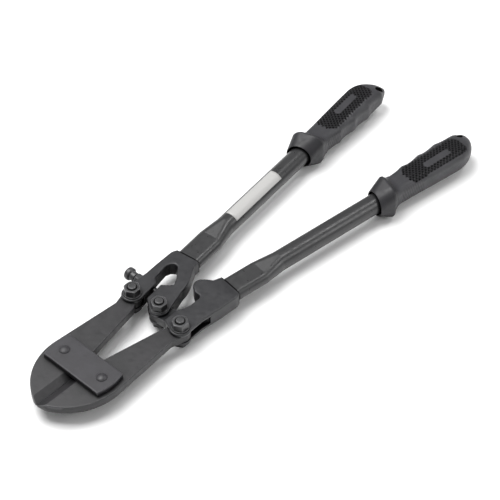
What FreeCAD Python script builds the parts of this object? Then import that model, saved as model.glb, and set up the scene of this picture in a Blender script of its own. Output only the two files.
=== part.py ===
import FreeCAD, Part
import Sketcher
import os
from FreeCAD import Placement, Rotation, Vector

# Bolt cutters, millimetres. X runs from the jaw tips (-X) to the grips (+X), Z is along every pivot pin.
# The left handle lies at +Y, the right handle at -Y. Pieces are drawn from the line through the two jaw
# rivets (X = 0), the centre line (Y = 0) and the mid-plane of the jaws (Z = 0). Their placements then put
# the origin of the assembly at the middle of its length and width, on the floor under the grips' collars.
# Outlines are written for the left side; "side" is +1 for the left piece and -1 for its mirror image.

LEFT = 1
RIGHT = -1
SIDE_NAMES = {LEFT: "left", RIGHT: "right"}

SIZES = {
    # side plates and jaw rivets
    "plate_length": 38,
    "plate_thickness": 6,
    "plate_corner_margin": 12.5,
    "plate_crown_margin": 15.5,
    "plate_gap": 0.15,
    "plate_edge_round": 0.9,
    "rivet_spacing": 58,
    "rivet_diameter": 10,
    "rivet_head_diameter": 13,
    "rivet_head_height": 2.3,
    "rivet_flat_radius": 1.2,
    # jaws
    "jaw_thickness": 10,
    "tip_reach": 68,
    "tip_half_width": 4,
    "tip_chamfer": 0.9,
    "jaw_shoulder": 21,
    "cutting_gap": 0.3,
    "bevel_width": 9.6,
    "edge_land": 0.6,
    "bevel_end": 6,
    "jaw_edge_round": 1,
    "tail_end_radius": 11.5,
    "tail_waist": 5.8,
    # pivots between jaws and handles
    "jaw_bolt_reach": 110.2,
    "jaw_bolt_spacing": 75,
    "centre_bolt_lead": 4.8,
    "bolt_diameter": 10,
    "running_fit": 0.05,
    "bolt_head_across": 17,
    "bolt_head_height": 6.4,
    "nut_across": 17,
    "nut_height": 8,
    "washer_diameter": 20.5,
    "washer_thickness": 1.6,
    "bolt_end_length": 1.8,
    "corner_chamfer": 1.2,
    # forged handle heads
    "ear_thickness": 3.8,
    "slot_clearance": 0.15,
    "ear_radius": 12.5,
    "centre_ear_radius": 11.5,
    "lug_radius": 10.5,
    "lug_slot_play": 1.3,
    "head_edge_round": 1.6,
    "slit_width": 4.6,
    "head_length": 83.8,
    "joint_drop": 4.2,
    "handle_angle": 7,
    "tang_length": 36,
    "tang_clearance": 0.1,
    # handle tubes
    "tube_diameter": 24,
    "tube_wall": 2.2,
    "tube_flat_width": 32,
    "tube_flat_height": 16.4,
    "tube_flat_length": 42,
    "tube_blend_length": 28,
    "tube_length": 352,
    # adjusting screw
    "screw_lead": 24.8,
    "screw_diameter": 8,
    "screw_neck_diameter": 11.5,
    "screw_head_diameter": 15.5,
    "screw_head_height": 7,
    "screw_stand_off": 15,
    "lock_nut_across": 13,
    "lock_nut_height": 6.5,
    "seat_rise": 11.5,
    # grips
    "grip_length": 165,
    "grip_overhang": 30,
    "grip_width": 40.4,
    "grip_height": 31,
    "grip_corner": 9,
    "grip_shift": 4,
    "neck_width": 32.6,
    "neck_height": 26.6,
    "neck_corner": 7,
    "neck_shift": 2.5,
    "collar_rise": 11.5,
    "collar_mouth_drop": 7,
    "collar_length": 21,
    "collar_tilt": 11,
    "collar_recess": 2.6,
    "collar_recess_depth": 5,
    "bore_clearance": 0.1,
    "finger_pitch": 28.5,
    "finger_inset": 45.5,
    "finger_radius": 22,
    "finger_depth": 1.9,
    "end_slope_length": 32,
    "hole_diameter": 9,
    "hole_inset": 11.5,
    "hole_shift": 15,
}

# Places that several pieces share, as expressions of the sheet.
JAW_BOLT_X = "Sizes.jaw_bolt_reach"
JAW_BOLT_Y = "Sizes.jaw_bolt_spacing / 2"
CENTRE_X = "(Sizes.jaw_bolt_reach + Sizes.centre_bolt_lead)"
RIVET_Y = "Sizes.rivet_spacing / 2"
HALF_JAW = "Sizes.jaw_thickness / 2"
SLOT_WIDTH = "(Sizes.jaw_thickness + 2 * Sizes.slot_clearance)"
HEAD_THICKNESS = "(Sizes.jaw_thickness + 2 * Sizes.slot_clearance + 2 * Sizes.ear_thickness)"
PLATE_BASE = "(Sizes.jaw_thickness / 2 + Sizes.plate_gap)"
JOINT_X = "(Sizes.jaw_bolt_reach + Sizes.head_length)"
JOINT_Y = "(Sizes.jaw_bolt_spacing / 2 - Sizes.joint_drop)"
SEAT_Y = "(Sizes.jaw_bolt_spacing / 2 + Sizes.seat_rise)"
SCREW_X = "(Sizes.jaw_bolt_reach + Sizes.screw_lead)"
GRIP_END = "(Sizes.tube_length + Sizes.grip_overhang)"
GRIP_START = "(Sizes.tube_length + Sizes.grip_overhang - Sizes.grip_length)"
BOLT_HOLE = "(Sizes.bolt_diameter / 2 + Sizes.running_fit)"
GRIP_TIP_X = "(%s + %s * cos(Sizes.handle_angle) + (Sizes.hole_shift + 1) * sin(Sizes.handle_angle))" % (
    JOINT_X, GRIP_END)
MIDDLE_X = "(%s - Sizes.tip_reach) / 2" % GRIP_TIP_X
LIFT = "Sizes.tube_diameter / 2 + Sizes.collar_rise"

doc = FreeCAD.newDocument("BoltCutters")
sheet = doc.addObject("Spreadsheet::Sheet", "Sizes")
for row, (alias, value) in enumerate(SIZES.items(), start=1):
    sheet.set("A%d" % row, alias)
    sheet.set("B%d" % row, str(value))
    sheet.setAlias("B%d" % row, alias)
doc.recompute()

bodies = []


# ---------------------------------------------------------------- placing and sketching helpers

def stand(body, reach="0", spread="0"):
    """Put a piece at its distances from the rivet line and the centre line, above the floor."""
    body.setExpression("Placement.Base.x", "%s - %s" % (reach, MIDDLE_X))
    body.setExpression("Placement.Base.y", spread)
    body.setExpression("Placement.Base.z", LIFT)


def new_body(name):
    """A PartDesign body whose label is the name of its node."""
    body = doc.addObject("PartDesign::Body", name)
    body.Label = name
    stand(body)
    bodies.append(body)
    return body


def new_sketch(body, name, role="XY_Plane", offset="0"):
    """A sketch on one of the body's own origin planes, moved along its normal by an expression."""
    sketch = body.newObject("Sketcher::SketchObject", body.Name + "_" + name)
    plane = [item for item in body.Origin.OriginFeatures if item.Role == role][0]
    sketch.AttachmentSupport = [(plane, "")]
    sketch.MapMode = "FlatFace"
    sketch.setExpression("AttachmentOffset.Base.z", offset)
    return sketch


def turned_sketch(body, name, station, angle):
    """A sketch across the body's X axis, turned about the vertical so that it leans to one side."""
    sketch = new_sketch(body, name, "YZ_Plane", station)
    sketch.AttachmentOffset = Placement(sketch.AttachmentOffset.Base, Rotation(Vector(0, 1, 0), 0))
    sketch.setExpression("AttachmentOffset.Rotation.Axis.y", "1")
    sketch.setExpression("AttachmentOffset.Rotation.Angle", angle)
    return sketch


def value(sketch, expression):
    """The present value of an expression of the size sheet."""
    result = sketch.evalExpression(expression)
    return float(getattr(result, "Value", result))


def hold(sketch, kind, geometry, point, expression):
    """Tie one coordinate of a point to an expression."""
    constraint = Sketcher.Constraint(kind, -1, 1, geometry, point, value(sketch, expression))
    index = sketch.addConstraint(constraint)
    sketch.setExpression("Constraints[%d]" % index, expression)


def place(sketch, geometry, point, position):
    hold(sketch, "DistanceX", geometry, point, position[0])
    hold(sketch, "DistanceY", geometry, point, position[1])


def spot(sketch, position):
    """The present place of a point whose coordinates are expressions."""
    return Vector(value(sketch, position[0]), value(sketch, position[1]), 0)


def draw_outline(sketch, start, steps):
    """Draw a closed outline. A step is one point for a straight edge, or a point on the arc and its end."""
    last = start
    ends = []
    is_closed = spot(sketch, steps[-1][-1]).distanceToPoint(spot(sketch, start)) < 1e-6
    for step in steps if is_closed else steps + [(start,)]:
        first_point = spot(sketch, last)
        end = step[-1]
        end_point = spot(sketch, end)
        if len(step) == 2:
            middle = step[0]
            middle_point = spot(sketch, middle)
            edge = sketch.addGeometry(Part.Arc(first_point, middle_point, end_point))
            mark = sketch.addGeometry(Part.Point(middle_point), True)
            place(sketch, mark, 1, middle)
            sketch.addConstraint(Sketcher.Constraint("PointOnObject", mark, 1, edge))
        else:
            edge = sketch.addGeometry(Part.LineSegment(first_point, end_point))
        starts_first = sketch.getPoint(edge, 1).distanceToPoint(first_point) < 1e-6
        ends.append((edge, 1 if starts_first else 2, 2 if starts_first else 1, end))
        last = end
    for index, (edge, begin, finish, end) in enumerate(ends):
        next_edge, next_begin = ends[(index + 1) % len(ends)][:2]
        sketch.addConstraint(Sketcher.Constraint("Coincident", edge, finish, next_edge, next_begin))
        place(sketch, edge, finish, end)


def draw_circle(sketch, centre, radius):
    circle = sketch.addGeometry(Part.Circle(spot(sketch, centre), Vector(0, 0, 1), value(sketch, radius)))
    place(sketch, circle, 3, centre)
    index = sketch.addConstraint(Sketcher.Constraint("Radius", circle, value(sketch, radius)))
    sketch.setExpression("Constraints[%d]" % index, radius)


def draw_box(sketch, low, high):
    draw_outline(sketch, low, [((high[0], low[1]),), (high,), ((low[0], high[1]),)])


def draw_hexagon(sketch, across):
    """A hexagon about the sketch's origin, with two corners on its horizontal axis."""
    corners = [("%s / sqrt(3) * cos(%d)" % (across, turn), "%s / sqrt(3) * sin(%d)" % (across, turn))
               for turn in range(0, 360, 60)]
    draw_outline(sketch, corners[0], [(corner,) for corner in corners[1:]])


def draw_rounded_box(sketch, width, height, radius, centre="0"):
    """A rounded rectangle, width along the sketch's horizontal, its centre moved along it."""
    right = "%s + (%s) / 2" % (centre, width)
    left = "%s - (%s) / 2" % (centre, width)
    top = "(%s) / 2" % height
    low = "-(%s) / 2" % height
    part = "(%s) * (1 - cos(45))" % radius
    draw_outline(sketch, ("%s + %s" % (left, radius), low), [
        (("%s - %s" % (right, radius), low),),
        (("%s - %s" % (right, part), "%s + %s" % (low, part)), (right, "%s + %s" % (low, radius))),
        ((right, "%s - %s" % (top, radius)),),
        (("%s - %s" % (right, part), "%s - %s" % (top, part)), ("%s - %s" % (right, radius), top)),
        (("%s + %s" % (left, radius), top),),
        (("%s + %s" % (left, part), "%s - %s" % (top, part)), (left, "%s - %s" % (top, radius))),
        ((left, "%s + %s" % (low, radius)),),
        (("%s + %s" % (left, part), "%s + %s" % (low, part)), ("%s + %s" % (left, radius), low)),
    ])


# ---------------------------------------------------------------- feature helpers

def extrude(body, sketch, length, kind="Pad", both=False, back=False):
    """A Pad or Pocket of the sketch, whose change of volume has the right sign."""
    before = body.Shape.Volume if body.Tip and kind == "Pocket" else 0.0
    feature = body.newObject("PartDesign::" + kind, sketch.Name + "_" + kind.lower())
    feature.Profile = sketch
    feature.SideType = "Symmetric" if both else "One side"
    feature.Reversed = back
    feature.setExpression("Length", length)
    sketch.Visibility = False
    doc.recompute()
    changed = body.Shape.Volume - before
    if (kind == "Pocket" and changed > -1e-3) or (kind == "Pad" and changed < 1e-3):
        raise ValueError("%s has no effect" % feature.Name)
    return feature


def spin(body, sketch, kind="Revolution", axis="H_Axis"):
    """A full Revolution or Groove about an axis of the sketch."""
    feature = body.newObject("PartDesign::" + kind, sketch.Name + "_" + kind.lower())
    feature.Profile = sketch
    feature.ReferenceAxis = (sketch, [axis])
    feature.Angle = 360
    doc.recompute()
    return feature


def edges_where(shape, test):
    return ["Edge%d" % (number + 1) for number, edge in enumerate(shape.Edges) if test(edge)]


def round_edges(body, radius, test, kind="Fillet"):
    """A Fillet or Chamfer on the edges of the body's tip that pass the test."""
    base = body.Tip
    names = edges_where(base.Shape, test)
    feature = body.newObject("PartDesign::" + kind, body.Name + "_" + kind.lower() + str(len(body.Group)))
    feature.Base = (base, names)
    feature.setExpression("Radius" if kind == "Fillet" else "Size", radius)
    doc.recompute()
    return feature


def lies_at(edge, height):
    """Whether a whole edge lies in the plane Z = height or Z = -height."""
    box = edge.BoundBox
    return box.ZLength < 1e-4 and abs(abs(box.Center.z) - height) < 1e-4


def outward(side, expression):
    """A distance from the centre line as a Y coordinate of the piece's own side."""
    return "%s * (%s)" % ("1" if side == LEFT else "-1", expression)


def mirrored(side, points):
    """Outline steps with every Y turned to the piece's own side."""
    return [tuple((x, outward(side, y)) for x, y in step) for step in points]


def around(centre, radius, degrees):
    """The point at an angle on a circle, as a pair of expressions."""
    return ("%s + %s * cos(%s)" % (centre[0], radius, degrees),
            "%s + %s * sin(%s)" % (centre[1], radius, degrees))


# ---------------------------------------------------------------- side plates and rivets

def make_side_plate(name, base, top):
    """A strap that ties the two jaws together; its ends are crowned like the jaws under it."""
    body = new_body(name)
    sketch = new_sketch(body, "outline", offset=base)
    front = "-Sizes.plate_length / 2"
    rear = "Sizes.plate_length / 2"
    corner = RIVET_Y + " + Sizes.plate_corner_margin"
    crown = RIVET_Y + " + Sizes.plate_crown_margin"
    draw_outline(sketch, (front, "-(%s)" % corner), [
        (("0", "-(%s)" % crown), (rear, "-(%s)" % corner)),
        ((rear, corner),),
        (("0", crown), (front, corner)),
    ])
    extrude(body, sketch, "Sizes.plate_thickness")
    holes = new_sketch(body, "rivet_holes", offset=base)
    for sign in ("", "-"):
        draw_circle(holes, ("0", "%s(%s)" % (sign, RIVET_Y)), "Sizes.rivet_diameter / 2")
    extrude(body, holes, "Sizes.plate_thickness", "Pocket", back=True)
    face = value(sketch, top)
    round_edges(body, "Sizes.plate_edge_round", lambda edge: edge.BoundBox.ZLength < 1e-4
                and abs(edge.BoundBox.Center.z - face) < 1e-4 and edge.BoundBox.DiagonalLength > 25)


def make_plate_rivet(side):
    """A shouldered rivet through both plates and one jaw, peened to a dome at each end."""
    body = new_body(SIDE_NAMES[side] + "_plate_rivet")
    sketch = new_sketch(body, "profile", "XZ_Plane")
    shank = "Sizes.rivet_diameter / 2"
    head = "Sizes.rivet_head_diameter / 2"
    face = PLATE_BASE + " + Sizes.plate_thickness"
    dome = face + " + Sizes.rivet_head_height"
    dome_radius = "(((%s) ^ 2 + Sizes.rivet_head_height ^ 2) / (2 * Sizes.rivet_head_height))" % head
    middle, rim = [(reach, "%s - %s + sqrt(%s ^ 2 - (%s) ^ 2)" % (dome, dome_radius, dome_radius, reach))
                   for reach in (head + " / 2", "Sizes.rivet_flat_radius")]
    draw_outline(sketch, ("0", "-(%s)" % rim[1]), [
        ((rim[0], "-(%s)" % rim[1]),),
        ((middle[0], "-(%s)" % middle[1]), (head, "-(%s)" % face)),
        ((shank, "-(%s)" % face),),
        ((shank, face),),
        ((head, face),),
        (middle, rim),
        (("0", rim[1]),),
    ])
    spin(body, sketch, axis="V_Axis")
    stand(body, "0", outward(side, RIVET_Y))


# ---------------------------------------------------------------- jaws

def make_jaw(side):
    """A centre-cut jaw: cutting edge, heel that rolls beside its twin, and a tail with an eye."""
    body = new_body(SIDE_NAMES[side] + "_jaw")
    gap = "Sizes.cutting_gap / 2"
    tip = "-Sizes.tip_reach"
    rivet = ("0", RIVET_Y)
    eye = (JAW_BOLT_X, JAW_BOLT_Y)
    shoulder = RIVET_Y + " + Sizes.jaw_shoulder"
    heel_radius = "(%s - %s)" % (RIVET_Y, gap)
    # The crown is one arc over the rivet, from the blunt tip to where the tail's edge leaves it.
    run = "(Sizes.tip_reach - Sizes.tip_chamfer)"
    rise = "(%s - Sizes.tip_half_width)" % shoulder
    crown_radius = "((%s ^ 2 + %s ^ 2) / (2 * %s))" % (run, rise, rise)
    crown = ("0", "(%s - %s)" % (shoulder, crown_radius))
    waist = ("%s - 20" % JAW_BOLT_X, "%s + Sizes.tail_waist" % JAW_BOLT_Y)
    offset = ("(%s)" % waist[0], "(%s - %s)" % (waist[1], crown[1]))
    leave = "(atan2(%s; %s) + acos(%s / hypot(%s; %s)))" % (offset[1], offset[0], crown_radius, *offset)
    arrive = "(180 deg - asin((Sizes.tip_half_width - %s) / %s))" % (crown[1], crown_radius)
    halfway = "((%s + %s) / 2)" % (leave, arrive)
    sketch = new_sketch(body, "outline", offset="-" + HALF_JAW)
    steps = [
        (("0", gap),),
        (around(rivet, heel_radius, -68), around(rivet, heel_radius, -48.5)),
        (("%s - 13.2" % JAW_BOLT_X, "%s - 15.2" % JAW_BOLT_Y),),
        (around(eye, "Sizes.tail_end_radius", 240),),
        (around(eye, "Sizes.tail_end_radius", 0), around(eye, "Sizes.tail_end_radius", 100)),
        (waist,),
        (around(crown, crown_radius, leave),),
        (around(crown, crown_radius, halfway), around(crown, crown_radius, arrive)),
        ((tip, "Sizes.tip_half_width / 2"),),
        ((tip, gap),),
    ]
    draw_outline(sketch, (tip, outward(side, gap)), mirrored(side, steps))
    extrude(body, sketch, "Sizes.jaw_thickness")
    base_top = value(sketch, HALF_JAW)
    outer_edge = value(sketch, "Sizes.tip_half_width")
    round_edges(body, "Sizes.jaw_edge_round", lambda edge: lies_at(edge, base_top)
                and side * edge.BoundBox.Center.y > outer_edge + 2)
    for level, label in (("", "upper"), ("-", "lower")):
        bevel = new_sketch(body, label + "_bevel", "YZ_Plane", tip + " - 1")
        draw_outline(bevel, (outward(side, "-1"), level + "Sizes.edge_land / 2"), [
            ((outward(side, gap), level + "Sizes.edge_land / 2"),),
            ((outward(side, gap + " + Sizes.bevel_width"), level + "(%s)" % HALF_JAW),),
            ((outward(side, gap + " + Sizes.bevel_width"), level + "(%s + 1)" % HALF_JAW),),
            ((outward(side, "-1"), level + "(%s + 1)" % HALF_JAW),),
        ])
        extrude(body, bevel, "Sizes.tip_reach + 1 - Sizes.bevel_end", "Pocket", back=True)
    bores = new_sketch(body, "bores", offset="-" + HALF_JAW)
    draw_circle(bores, ("0", outward(side, RIVET_Y)), "Sizes.rivet_diameter / 2 + Sizes.running_fit")
    draw_circle(bores, (JAW_BOLT_X, outward(side, JAW_BOLT_Y)), BOLT_HOLE)
    extrude(body, bores, "Sizes.jaw_thickness", "Pocket", back=True)


# ---------------------------------------------------------------- forged handle heads

def add_tang(body, side):
    """The flat tongue behind a head that the handle tube is swaged onto."""
    tang = turned_sketch(body, "tang", JOINT_X, outward(side, "Sizes.handle_angle"))
    tang.setExpression("AttachmentOffset.Base.x", outward(side, JOINT_Y))
    wall = "2 * (Sizes.tube_wall + Sizes.tang_clearance)"
    height = "Sizes.tube_flat_height - " + wall
    draw_rounded_box(tang, "Sizes.tube_flat_width - " + wall, height, "((%s) / 2 - 0.1)" % height)
    extrude(body, tang, "Sizes.tang_length")


def joint_corner(across):
    """A corner of the face where a head meets its tube, at a distance from the tube's axis."""
    return ("%s - (%s) * sin(Sizes.handle_angle)" % (JOINT_X, across),
            "%s + (%s) * cos(Sizes.handle_angle)" % (JOINT_Y, across))


def cut_jaw_slot(body, side):
    """The slot between the ears of a head that takes the jaw's tail."""
    slot = new_sketch(body, "jaw_slot")
    eye = (JAW_BOLT_X, JAW_BOLT_Y)
    reach = "(Sizes.ear_radius + 0.6)"
    start = around(eye, reach, -90)
    draw_outline(slot, (start[0], outward(side, start[1])), mirrored(side, [
        (around(eye, reach, 0), around(eye, reach, 90)),
        (("%s - 20" % JAW_BOLT_X, "%s + %s" % (JAW_BOLT_Y, reach)),),
        (("%s - 20" % JAW_BOLT_X, "%s - %s" % (JAW_BOLT_Y, reach)),),
        (start,),
    ]))
    extrude(body, slot, SLOT_WIDTH, "Pocket", both=True)


def round_faces(body):
    """Round the outline of a head's two flat faces, all but the sharp shoulder that meets the tube."""
    face = body.Tip.Shape.BoundBox.ZMax
    shoulder = SIZES["jaw_bolt_reach"] + SIZES["head_length"] - SIZES["tube_flat_width"] / 12
    round_edges(body, "Sizes.head_edge_round", lambda edge: lies_at(edge, face)
                and edge.BoundBox.XMin < shoulder)


def make_left_head():
    """The loop head: outer arm to the jaw, inner arm to the centre bolt, joined behind a window."""
    side = LEFT
    body = new_body("left_handle_head")
    eye = (JAW_BOLT_X, JAW_BOLT_Y)
    centre = (CENTRE_X, "0")
    slit_top = "(%s - Sizes.ear_radius)" % JAW_BOLT_Y
    slit_low = "(%s - Sizes.slit_width)" % slit_top
    outline = new_sketch(body, "outline")
    steps = [
        ((JAW_BOLT_X + " + 29", slit_top + " + 4.4"),),
        ((JAW_BOLT_X + " + 34", slit_top + " + 11"),),
        ((JAW_BOLT_X + " + 55", slit_top + " + 15.4"),),
        ((JAW_BOLT_X + " + 61", slit_top + " + 13.6"),),
        ((JAW_BOLT_X + " + 64.6", slit_top + " + 9.6"),),
        ((JAW_BOLT_X + " + 63.6", slit_top + " + 4.4"),),
        ((JAW_BOLT_X + " + 48", slit_top + " - 8.4"),),
        ((JAW_BOLT_X + " + 41", slit_top + " - 11.4"),),
        ((JAW_BOLT_X + " + 36.4", slit_top + " - 7.4"),),
        ((JAW_BOLT_X + " + 31", slit_low + " + 3.4"),),
        ((CENTRE_X + " + 1", slit_low),),
        (around(centre, "Sizes.centre_ear_radius", 148),),
        (around(centre, "Sizes.centre_ear_radius", 215), around(centre, "Sizes.centre_ear_radius", 292)),
        ((CENTRE_X + " + 35", "-0.6"),),
        ((CENTRE_X + " + 50", "3.6"), (CENTRE_X + " + 62", "10.2")),
        ((JOINT_X + " - 6", JOINT_Y + " - 16.6"),),
        (joint_corner("-Sizes.tube_flat_width / 2"),),
        (joint_corner("Sizes.tube_flat_width / 2"),),
        ((JOINT_X + " - 6.5", JOINT_Y + " + 17.9"), (JOINT_X + " - 12", JOINT_Y + " + 18.3")),
        ((JAW_BOLT_X + " + 50", SEAT_Y + " + 1.4"),),
        ((JAW_BOLT_X + " + 34", SEAT_Y),),
        ((JAW_BOLT_X + " + 16.5", SEAT_Y),),
        (around(eye, "Sizes.ear_radius", 50),),
        (around(eye, "Sizes.ear_radius", 160), around(eye, "Sizes.ear_radius", 270)),
    ]
    draw_outline(outline, (JAW_BOLT_X, slit_top), steps)
    extrude(body, outline, HEAD_THICKNESS, both=True)
    cut_jaw_slot(body, side)
    lug_slot = new_sketch(body, "lug_slot")
    draw_box(lug_slot, (CENTRE_X + " - 15", "-15"), (CENTRE_X + " + Sizes.lug_radius + 3", slit_low + " + 2"))
    extrude(body, lug_slot, SLOT_WIDTH, "Pocket", both=True)
    round_faces(body)
    bores = new_sketch(body, "bores")
    draw_circle(bores, eye, BOLT_HOLE)
    draw_circle(bores, centre, BOLT_HOLE)
    extrude(body, bores, HEAD_THICKNESS, "Pocket", both=True)
    screw_hole = new_sketch(body, "screw_hole", "XZ_Plane", "-(%s - 1)" % slit_top)
    draw_circle(screw_hole, (SCREW_X, "0"), "Sizes.screw_diameter / 2 + Sizes.running_fit")
    extrude(body, screw_hole, SEAT_Y, "Pocket")
    add_tang(body, side)


def make_right_head():
    """The bumper head: a solid arm with a stop toward the loop, and a middle lug on the centre bolt."""
    side = RIGHT
    body = new_body("right_handle_head")
    eye = (JAW_BOLT_X, JAW_BOLT_Y)
    centre = (CENTRE_X, "0")
    inner = "(Sizes.centre_ear_radius * 1.48)"
    outline = new_sketch(body, "outline")
    steps = [
        ((JAW_BOLT_X + " + 17", inner),),
        ((JAW_BOLT_X + " + 23", inner + " + 3.2"), (JAW_BOLT_X + " + 32", inner + " + 5")),
        ((JAW_BOLT_X + " + 46", inner + " + 5"),),
        ((JAW_BOLT_X + " + 48.6", inner + " + 2.6"),),
        ((JAW_BOLT_X + " + 48.8", "11.6"),),
        ((JAW_BOLT_X + " + 53.3", "5.2"),),
        ((JAW_BOLT_X + " + 60.3", "0.9"), (JAW_BOLT_X + " + 68.3", "3.4")),
        ((JAW_BOLT_X + " + 72.5", "8.2"),),
        ((JAW_BOLT_X + " + 76", "13.8"),),
        ((JOINT_X + " - 4", "15.4"),),
        (joint_corner("-Sizes.tube_flat_width / 2"),),
        (joint_corner("Sizes.tube_flat_width / 2"),),
        ((JOINT_X + " - 6.5", JOINT_Y + " + 17.9"), (JOINT_X + " - 12", JOINT_Y + " + 18.3")),
        ((JAW_BOLT_X + " + 50", SEAT_Y + " + 1.4"),),
        ((JAW_BOLT_X + " + 24", SEAT_Y + " - 1.4"),),
        (around(eye, "Sizes.ear_radius", 62),),
        (around(eye, "Sizes.ear_radius", 135), around(eye, "Sizes.ear_radius", 225)),
    ]
    start = (JAW_BOLT_X + " - 3.6", inner)
    draw_outline(outline, (start[0], outward(side, start[1])), mirrored(side, steps + [(start,)]))
    extrude(body, outline, HEAD_THICKNESS, both=True)
    cut_jaw_slot(body, side)
    lug = new_sketch(body, "lug")
    root = "(%s - Sizes.ear_radius - 1)" % JAW_BOLT_Y
    steps = [
        ((CENTRE_X + " - 8.5", root + " - 4"),),
        ((CENTRE_X + " - 3", root),),
        ((CENTRE_X + " + 9", root),),
        ((CENTRE_X + " + 14", inner + " + 1"),),
        (around(centre, "Sizes.lug_radius", 20),),
        (around(centre, "Sizes.lug_radius", 270), around(centre, "Sizes.lug_radius", 175)),
    ]
    start = around(centre, "Sizes.lug_radius", 175)
    draw_outline(lug, (start[0], outward(side, start[1])), mirrored(side, steps))
    extrude(body, lug, "Sizes.jaw_thickness", both=True)
    round_faces(body)
    bores = new_sketch(body, "bores")
    draw_circle(bores, (eye[0], outward(side, eye[1])), BOLT_HOLE)
    extrude(body, bores, HEAD_THICKNESS, "Pocket", both=True)
    cut_lug_slot(body, side)
    add_tang(body, side)


def cut_lug_slot(body, side):
    """The elongated eye in the lug: the centre bolt shifts along it while the handles swing."""
    sketch = new_sketch(body, "lug_eye")
    radius = "(Sizes.bolt_diameter / 2 + Sizes.lug_slot_play)"
    near = (CENTRE_X + " - 0.6", "-0.7")
    far = (CENTRE_X + " + 2", "4.7")
    start = around(near, radius, 154)
    draw_outline(sketch, (start[0], outward(side, start[1])), mirrored(side, [
        (around(near, radius, 244), around(near, radius, -26)),
        (around(far, radius, -26),),
        (around(far, radius, 64), around(far, radius, 154)),
        (start,),
    ]))
    extrude(body, sketch, HEAD_THICKNESS, "Pocket", both=True)


# ---------------------------------------------------------------- bolts, nuts and washers

def chamfer_hexagon(body, across, offset):
    """Turn the corners of a hexagon off at one end, as on a machined nut or bolt head."""
    groove = new_sketch(body, "corner_turning_" + ("top" if not offset.startswith("-") else "low"), "XZ_Plane")
    level = 1 if not offset.startswith("-") else -1
    flat = "%s / 2" % across
    reach = "%s / 2 + 2.5" % across
    drop = "%g * 2.5 * tan(30)" % level
    draw_outline(groove, (flat, offset), [
        ((reach, "%s - (%s)" % (offset, drop)),),
        ((reach, "%s + %d" % (offset, level)),),
        ((flat, "%s + %d" % (offset, level)),),
    ])
    spin(body, groove, "Groove", "V_Axis")


def make_bolt(name, reach, spread):
    """A hexagon-head bolt, head below, its end just proud of the nut."""
    body = new_body(name)
    half = HEAD_THICKNESS + " / 2"
    head = new_sketch(body, "head", offset="-(%s) - Sizes.bolt_head_height" % half)
    draw_hexagon(head, "Sizes.bolt_head_across")
    extrude(body, head, "Sizes.bolt_head_height")
    chamfer_hexagon(body, "Sizes.bolt_head_across", "-(%s) - Sizes.bolt_head_height" % half)
    shank = new_sketch(body, "shank", offset="-(%s)" % half)
    draw_circle(shank, ("0", "0"), "Sizes.bolt_diameter / 2")
    extrude(body, shank, HEAD_THICKNESS + " + Sizes.washer_thickness + Sizes.nut_height + Sizes.bolt_end_length")
    end = body.Tip.Shape.BoundBox.ZMax
    round_edges(body, "Sizes.corner_chamfer", lambda edge: edge.BoundBox.ZLength < 1e-4
                and abs(edge.BoundBox.Center.z - end) < 1e-4, "Chamfer")
    stand(body, reach, spread)


def make_washer(name, reach, spread):
    body = new_body(name)
    ring = new_sketch(body, "ring", offset=HEAD_THICKNESS + " / 2")
    draw_circle(ring, ("0", "0"), "Sizes.washer_diameter / 2")
    draw_circle(ring, ("0", "0"), BOLT_HOLE)
    extrude(body, ring, "Sizes.washer_thickness")
    stand(body, reach, spread)


def make_nut(name, reach, spread):
    body = new_body(name)
    seat = HEAD_THICKNESS + " / 2 + Sizes.washer_thickness"
    block = new_sketch(body, "block", offset=seat)
    draw_hexagon(block, "Sizes.nut_across")
    extrude(body, block, "Sizes.nut_height")
    chamfer_hexagon(body, "Sizes.nut_across", seat + " + Sizes.nut_height")
    bore = new_sketch(body, "bore", offset=seat)
    draw_circle(bore, ("0", "0"), BOLT_HOLE)
    extrude(body, bore, "Sizes.nut_height", "Pocket", back=True)
    stand(body, reach, spread)


def stand_on_arm(body, height):
    """Turn a piece so that its own Z points out of the left arm, along the adjusting screw's axis."""
    body.Placement = Placement(Vector(0, 0, 0), Rotation(Vector(1, 0, 0), -90))
    stand(body, SCREW_X, height)


def make_adjusting_screw():
    """The screw through the outer arm; its point bears on the inner arm and sets the jaws' closing."""
    body = new_body("adjusting_screw")
    profile = new_sketch(body, "profile", "XZ_Plane")
    tip = "-(%s - (%s - Sizes.ear_radius) + 1.3)" % (SEAT_Y, JAW_BOLT_Y)
    shank = "Sizes.screw_diameter / 2"
    neck = "Sizes.screw_neck_diameter / 2"
    head = "Sizes.screw_head_diameter / 2"
    neck_start = "Sizes.lock_nut_height + 0.8"
    head_base = "Sizes.screw_stand_off"
    head_top = "Sizes.screw_stand_off + Sizes.screw_head_height"
    draw_outline(profile, ("0", tip), [
        ((shank + " - 1", tip),),
        ((shank, tip + " + 1"),),
        ((shank, neck_start),),
        ((neck, neck_start + " + 1"),),
        ((neck, head_base + " - 1"),),
        ((head + " - 0.8", head_base),),
        ((head, head_base + " + 1.2"),),
        ((head, head_top + " - 2.4"),),
        ((head + " - 0.8", head_top + " - 0.8"), (head + " - 2.6", head_top)),
        (("0", head_top),),
    ])
    spin(body, profile, axis="V_Axis")
    stand_on_arm(body, SEAT_Y)


def make_lock_nut():
    body = new_body("adjusting_lock_nut")
    block = new_sketch(body, "block")
    draw_hexagon(block, "Sizes.lock_nut_across")
    extrude(body, block, "Sizes.lock_nut_height")
    chamfer_hexagon(body, "Sizes.lock_nut_across", "Sizes.lock_nut_height")
    bore = new_sketch(body, "bore")
    draw_circle(bore, ("0", "0"), "Sizes.screw_diameter / 2 + Sizes.running_fit")
    extrude(body, bore, "Sizes.lock_nut_height", "Pocket", back=True)
    stand_on_arm(body, SEAT_Y)


# ---------------------------------------------------------------- handle tubes and grips

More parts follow.
